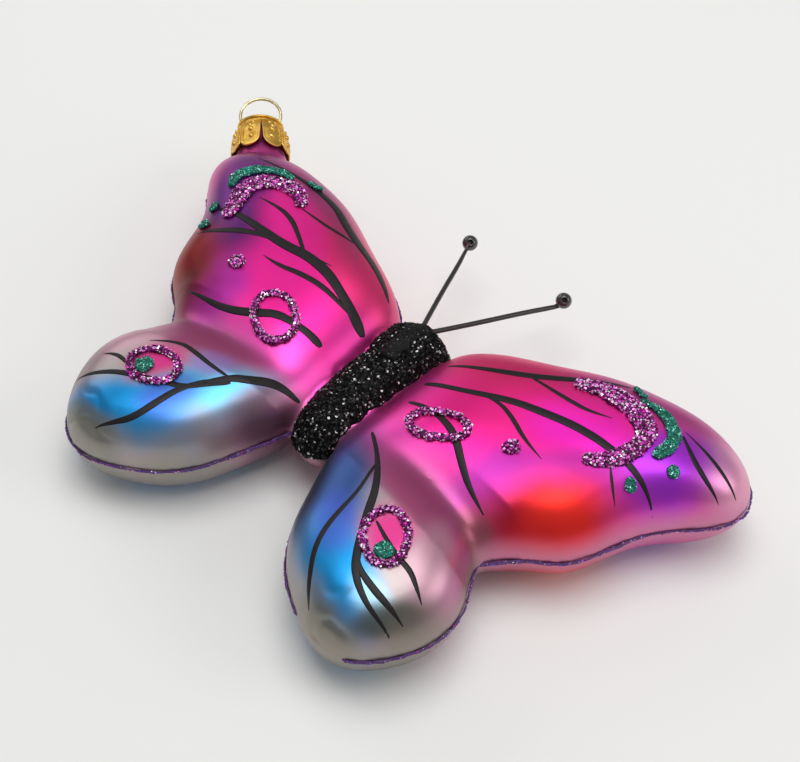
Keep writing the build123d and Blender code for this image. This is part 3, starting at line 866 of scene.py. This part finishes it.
def flakeCloud(count, size, thickness):
    # one small plate, repeated in exact order by an array
    bm = bmesh.new()
    bmesh.ops.create_cone(
        bm, cap_ends=True, segments=4, radius1=size * flakeLay["corner"], radius2=size * flakeLay["corner"],
        depth=thickness)
    mesh = bpy.data.meshes.new("flake")
    bm.to_mesh(mesh)
    bm.free()
    work = bpy.data.objects.new("flake", mesh)
    bpy.context.scene.collection.objects.link(work)
    step = work.modifiers.new("many", "ARRAY")
    step.count = count
    step.use_relative_offset = False
    shown = work.evaluated_get(bpy.context.evaluated_depsgraph_get())
    cloud = bpy.data.meshes.new_from_object(shown)
    perFlake = len(mesh.vertices), len(mesh.polygons)
    bpy.data.objects.remove(work)
    bpy.data.meshes.remove(mesh)
    return cloud, perFlake


def makeGlitter(name, node, bedValues, materials):
    kind, voxel, steps, size, density, standOut = bedValues
    dice = random.Random(node)
    bm = remeshed(cadCopy(node), voxel * mm)
    smoothVerts(bm, bm.verts, steps)
    for vert in bm.verts:
        vert.co += Vector([dice.uniform(-1, 1) for axis in range(3)]) * glueLine["grit"] * mm
        sway = noise.noise_vector(vert.co / mm * glueLine["swayScale"])
        lump = noise.noise(vert.co / mm * glueLine["lumpScale"]) * glueLine["lump"]
        vert.co += (Vector((sway.x, sway.y, 0)) * glueLine["sway"] + vert.normal * lump) * mm
    if kind == "purple":
        pressRim(bm)
    bm.normal_update()
    places = []
    for face in bm.faces:
        middle = face.calc_center_median()
        near = glassTree.find_nearest(middle)
        if near[0] is None or (middle - near[0]).length < glueLine["hidden"] * mm:
            continue
        wanted = face.calc_area() / (mm * mm) * density
        times = int(wanted) + (dice.random() < wanted - int(wanted))
        for turn in range(times):
            spread = Vector([dice.uniform(-1, 1) for axis in range(3)]) * voxel * 0.5 * mm
            spread -= face.normal * spread.dot(face.normal)
            places.append((middle + spread, face.normal.copy()))
    bedFaces = len(bm.faces)
    cloud, (vertsEach, facesEach) = flakeCloud(
        len(places), size * mm, size * flakeLay["thickness"] * mm)
    for index, (place, normal) in enumerate(places):
        lean = Vector([dice.gauss(0, 1) for axis in range(3)]) * flakeLay["lean"]
        facing = (normal + lean).normalized()
        turn = facing.to_track_quat("Z", "Y").to_matrix()
        spin = Matrix.Rotation(dice.uniform(0, 6.28), 3, "Z")
        scale = dice.uniform(flakeLay["smallest"], flakeLay["largest"])
        stand = place + normal * dice.uniform(flakeLay["sunk"], 1.0) * standOut * mm
        for vert in cloud.vertices[index * vertsEach:(index + 1) * vertsEach]:
            vert.co = stand + turn @ (spin @ (vert.co * scale))
    bm.from_mesh(cloud)
    bpy.data.meshes.remove(cloud)
    tone = bm.faces.layers.float.new("flakeToneAndGlint")
    bm.faces.ensure_lookup_table()
    value = 0.0
    for index, face in enumerate(bm.faces):
        if index >= bedFaces:
            if (index - bedFaces) % facesEach == 0:
                value = dice.uniform(0.02, 1.0)
            face[tone] = value
            face.smooth = False
        else:
            face.smooth = True
    piece = newPiece(name, bm, materials[kind], smooth=False)
    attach(piece, "figure")
    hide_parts(node)
    print(name, "flakes", len(places), "faces", len(piece.data.polygons))
    return piece


glitterMaterials = {
    kind: glitterMaterial(
        kind + "Glitter", values["glue"], values["tones"], values["metallic"], values["roughness"],
        values["specular"])
    for kind, values in glitterKinds.items()
}
for bed, values in glitterBeds.items():
    if bed in ("body_glitter_coat", "antenna_glue"):
        parts = bed.split("_")
        makeGlitter(parts[0] + "".join(part.title() for part in parts[1:]), bed, values, glitterMaterials)
        continue
    for side in ("left", "right"):
        title = "".join(part.title() for part in bed.split("_"))
        makeGlitter(side + title, side + "_" + bed, values, glitterMaterials)
print("glitter laid")


# The crown cap, in millimetres about its own axis, its top at height 0

cap = {
    # radius and height, down the petals and across the top to its lip
    "profile": (
        (4.65, -0.75), (4.65, -1.2), (4.8, -1.6), (5.25, -2.3), (5.7, -3.1), (6.0, -4.0), (6.2, -6.0),
        (6.3, -8.4)),
    "top": (
        (0.0, -0.02), (1.2, 0.0), (3.4, 0.0), (4.1, -0.02), (4.55, -0.08), (4.86, -0.22), (4.96, -0.4),
        (4.84, -0.6), (4.65, -0.75)),
    "turn": 6,
    "metal": 0.3,
    "petals": 8,
    "columns": 16,
    "rows": 30,
    "length": 8.4,
    "slitStart": 1.3,
    "openKnee": 6.5,
    "closedKnee": 7.1,
    "lowest": -0.22,
    "openHalf": 0.5,
    "closedHalf": 0.07,
    "hemRoll": 0.12,
    "hemReach": 0.28,
    "beads": {"count": 10, "top": -1.5, "pitch": 0.57, "radius": 0.29, "aside": 0.66, "proud": 0.04},
    # bosses: height, share across the petal, radius
    "bossSink": 0.06,
    "bosses": ((-1.9, 0.05, 0.42), (-3.2, -0.10, 0.5), (-4.3, 0.0, 0.62), (-6.1, 0.08, 0.62)),
}


def capRadius(height):
    points = cap["profile"]
    if height >= points[0][1]:
        return points[0][0]
    for (ra, ha), (rb, hb) in zip(points, points[1:]):
        if height >= hb:
            share = (ha - height) / (ha - hb)
            return ra + (rb - ra) * share
    return points[-1][0]


def petalEdge(share):
    # the petal's hem: from the closed slit at -1 to the open slit at 1
    low = cap["lowest"]
    if share < low:
        along = (share + 1) / (low + 1)
        return -(cap["closedKnee"] + (cap["length"] - cap["closedKnee"]) * math.sin(along * math.pi / 2))
    along = (share - low) / (1 - low)
    return -(cap["openKnee"] + (cap["length"] - cap["openKnee"]) * math.cos(along * math.pi / 2) ** 0.9)


def petalMiddle(petal):
    return (petal - 0.5) * 2 * math.pi / cap["petals"] - math.pi / 2 + math.radians(cap["turn"])


def makeCap(material):
    bm = bmesh.new()
    segments = cap["petals"] * cap["columns"]
    previous = None
    profile = []
    for radius, height in cap["top"]:
        vert = bm.verts.new((radius, 0, height))
        if previous:
            profile.append(bm.edges.new((previous, vert)))
        previous = vert
    bmesh.ops.spin(
        bm, geom=list(bm.verts) + profile, angle=2 * math.pi, steps=segments, axis=(0, 0, 1), use_merge=True)
    bmesh.ops.remove_doubles(bm, verts=bm.verts, dist=0.01)
    top = cap["profile"][0][1]
    petalTurn = 2 * math.pi / cap["petals"]
    for petal in range(cap["petals"]):
        made = bmesh.ops.create_grid(bm, x_segments=cap["columns"], y_segments=cap["rows"], size=1.0)
        openSide = 1 if petal % 2 == 0 else -1
        middleTurn = petalMiddle(petal)
        for vert in made["verts"]:
            across, down = vert.co.x, (1 - vert.co.y) / 2
            share = across * openSide
            hem = petalEdge(share)
            height = top + (hem - top) * down
            radius = capRadius(height)
            half = 0.0
            if -height > cap["slitStart"]:
                depth = (-height - cap["slitStart"]) / (cap["openKnee"] - cap["slitStart"])
                wide = cap["openHalf"] if share > 0 else cap["closedHalf"]
                half = wide * min(1, depth) ** 1.4 + 0.05
            turn = across * (petalTurn / 2 - half / radius * abs(across) ** 3)
            toHem = min(abs(height - hem), (1 - abs(across)) * radius * petalTurn / 2)
            if -height > cap["slitStart"]:
                radius += cap["hemRoll"] * math.exp(-(toHem / cap["hemReach"]) ** 2)
            vert.co = (
                radius * math.cos(middleTurn + turn), radius * math.sin(middleTurn + turn), height)
    bmesh.ops.remove_doubles(bm, verts=bm.verts, dist=0.02)
    bmesh.ops.recalc_face_normals(bm, faces=bm.faces)
    return finishCap(bm, material)


def finishCap(bm, material):
    shell = bpy.data.meshes.new("capShell")
    bmesh.ops.transform(bm, matrix=neckFrame @ Matrix.Scale(mm, 4), verts=bm.verts)
    bm.to_mesh(shell)
    bm.free()
    work = bpy.data.objects.new("capShell", shell)
    bpy.context.scene.collection.objects.link(work)
    wall = work.modifiers.new("wall", "SOLIDIFY")
    wall.thickness = cap["metal"] * mm
    wall.offset = -1
    wall.use_even_offset = True
    shown = work.evaluated_get(bpy.context.evaluated_depsgraph_get())
    solid = bmesh.new()
    solid.from_mesh(shown.to_mesh())
    shown.to_mesh_clear()
    bpy.data.objects.remove(work)
    bpy.data.meshes.remove(shell)
    # stamped beads beside the closed slits, and bosses down each petal
    petalTurn = 2 * math.pi / cap["petals"]
    row = cap["beads"]
    for petal in range(cap["petals"]):
        openSide = 1 if petal % 2 == 0 else -1
        middleTurn = petalMiddle(petal)
        for step in range(row["count"]):
            height = row["top"] - row["pitch"] * step
            radius = capRadius(height)
            turn = middleTurn - openSide * (petalTurn / 2 - row["aside"] / radius)
            addBoss(solid, radius + row["proud"], turn, height, row["radius"], 1, 0.9)
        for height, share, size in cap["bosses"]:
            radius = capRadius(height)
            turn = middleTurn + openSide * share * petalTurn / 2
            addBoss(solid, radius - cap["bossSink"], turn, height, size, 2, 0.75)
    piece = newPiece("crownCap", solid, material)
    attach(piece, "cap")
    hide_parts("crown_cap")
    return piece


def addBoss(bm, radius, turn, height, size, detail, squash):
    made = bmesh.ops.create_icosphere(bm, subdivisions=detail, radius=size)
    place = Matrix.Translation((radius * math.cos(turn), radius * math.sin(turn), height))
    aim = Matrix.Rotation(turn, 4, "Z") @ Matrix.Diagonal((squash, 1, 1, 1))
    bmesh.ops.transform(bm, matrix=neckFrame @ Matrix.Scale(mm, 4) @ place @ aim, verts=made["verts"])


makeCap(metalMaterial("stampedGold", (0.90, 0.58, 0.13), (0.70, 0.40, 0.07), 0.3, 2.6, 0.14))
print("cap made")


# The wire loop, in millimetres about the cap's axis

loop = {
    "wire": 0.7,
    "width": 9.4,
    "height": 7.2,
    "foot": 1.0,
    "rise": 0.3,
    "leg": 2.7,
    "legLength": 13.0,
    "lift": 0.15,
    "steps": 36,
}


def makeHanger(material):
    radius = (loop["width"] - loop["wire"]) / 2
    middle = loop["height"] - loop["wire"] / 2 - radius
    leg = loop["leg"]
    under = math.asin((middle - loop["foot"]) / radius)
    rise = loop["rise"]
    points = [(-leg, 0, -loop["legLength"]), (-leg, 0, -3.0), (-leg, 0, -0.3), (-leg, 0, rise)]
    for step in range(loop["steps"] + 1):
        turn = math.pi + under - (math.pi + 2 * under) * step / loop["steps"]
        points.append((radius * math.cos(turn), 0, middle + radius * math.sin(turn)))
    points += [(leg, 0, rise), (leg, 0, -0.3), (leg, 0, -3.0), (leg, 0, -loop["legLength"])]
    placed = [neckFrame @ (Vector((x, y, z + loop["lift"])) * mm) for x, y, z in points]
    mesh = splineMesh("hangerLoop", placed, loop["wire"] / 2 * mm, sides=4)
    bm = bmesh.new()
    bm.from_mesh(mesh)
    bpy.data.meshes.remove(mesh)
    piece = newPiece("hangerLoop", bm, material)
    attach(piece, "hanger")
    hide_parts("hanger_wire")
    return piece


makeHanger(metalMaterial("paleGoldWire", (0.80, 0.72, 0.46), (0.52, 0.44, 0.24), 0.24, 3.0, 0.02))


# Antennae: two enamelled wires and their beads

antennae = {
    "wire": 1.0,
    "rootSpread": 0.51,
    "root": (20.6, 6.2),
    "reach": 24.8,
    "front": 22.2,
    "spread": 23.8,
    "beadHeight": 2.0,
    "bead": 3.2,
    "strand": 0.5,
    "holeAxis": (0.44, -0.48, 0.75),
}


def makeAntenna(side, name, wireMaterial, beadMaterial):
    a = antennae
    start = wingPoint(side * a["rootSpread"], a["root"][0] - 1.2, a["root"][1] + 0.2)
    bead = wingPoint(side * a["spread"] / 2, a["front"] + a["reach"], a["beadHeight"])
    along = (bead - start).normalized()
    aside = along.cross(Vector((0, 0, 1))).normalized()
    radius = a["bead"] / 2 * mm
    hole = bead + Vector(a["holeAxis"]).normalized() * radius * 0.86
    length = (bead - start).length
    if side > 0:
        under = bead - Vector((0, 0, 1.2 * mm))
        line = [start, start.lerp(under, 0.3) + aside * 0.12 * mm, start.lerp(under, 0.7) - aside * 0.1 * mm,
                under - along * 2.2 * mm, under + along * 0.3 * mm]
        thick = (1.0, 1.0, 1.0, 1.0, 0.75)
        strand = [under - along * 3.0 * mm, under - along * 2.2 * mm + Vector((0, 0, 0.35 * mm)), hole]
    else:
        line = [start, start.lerp(bead, 0.35) - aside * 0.1 * mm, start.lerp(bead, 0.75) + aside * 0.12 * mm,
                bead - along * 4.0 * mm, bead - along * 0.6 * mm]
        thick = (1.0, 1.0, 0.95, 0.8, 0.6)
        strand = [bead - along * 2.6 * mm + Vector((0, 0, 0.3 * mm)),
                  bead - along * 1.7 * mm + Vector((0, 0, 0.8 * mm)), hole]
    bm = bmesh.new()
    for points, size, radii in ((line, a["wire"], thick), (strand, a["strand"], (0.6, 1.0, 0.8))):
        mesh = splineMesh(name + "AntennaWire", points, size / 2 * mm, radii, sides=4)
        bm.from_mesh(mesh)
        bpy.data.meshes.remove(mesh)
    wire = newPiece(name + "AntennaWire", bm, wireMaterial)
    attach(wire, "figure")
    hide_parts(name + "_antenna_wire")

    bm = bmesh.new()
    bmesh.ops.create_uvsphere(bm, u_segments=40, v_segments=28, radius=radius)
    top = [face for face in bm.faces if face.calc_center_median().normalized().z > 0.955]
    for inset, depth in ((0.0, -0.1), (0.06, -0.35), (0.05, -0.3)):
        bmesh.ops.inset_region(bm, faces=top, thickness=inset * mm, depth=depth * mm, use_even_offset=True)
    aim = Vector(a["holeAxis"]).to_track_quat("Z", "Y").to_matrix().to_4x4()
    stretch = Matrix.Diagonal((1.0, 1.0, 0.96, 1.0))
    bmesh.ops.transform(bm, matrix=Matrix.Translation(bead) @ aim @ stretch, verts=bm.verts)
    ball = newPiece(name + "AntennaBead", bm, beadMaterial)
    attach(ball, "figure")
    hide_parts(name + "_antenna_bead")


wireMaterial = enamelMaterial("blackWireEnamel", (0.008, 0.006, 0.007), (0.022, 0.014, 0.014), 0.28, 0.3)
beadMaterial = enamelMaterial("brownBlackBead", (0.012, 0.012, 0.010), (0.045, 0.034, 0.028), 0.12, 1.0)
makeAntenna(-1, "left", wireMaterial, beadMaterial)
makeAntenna(1, "right", wireMaterial, beadMaterial)
print("antennae made")
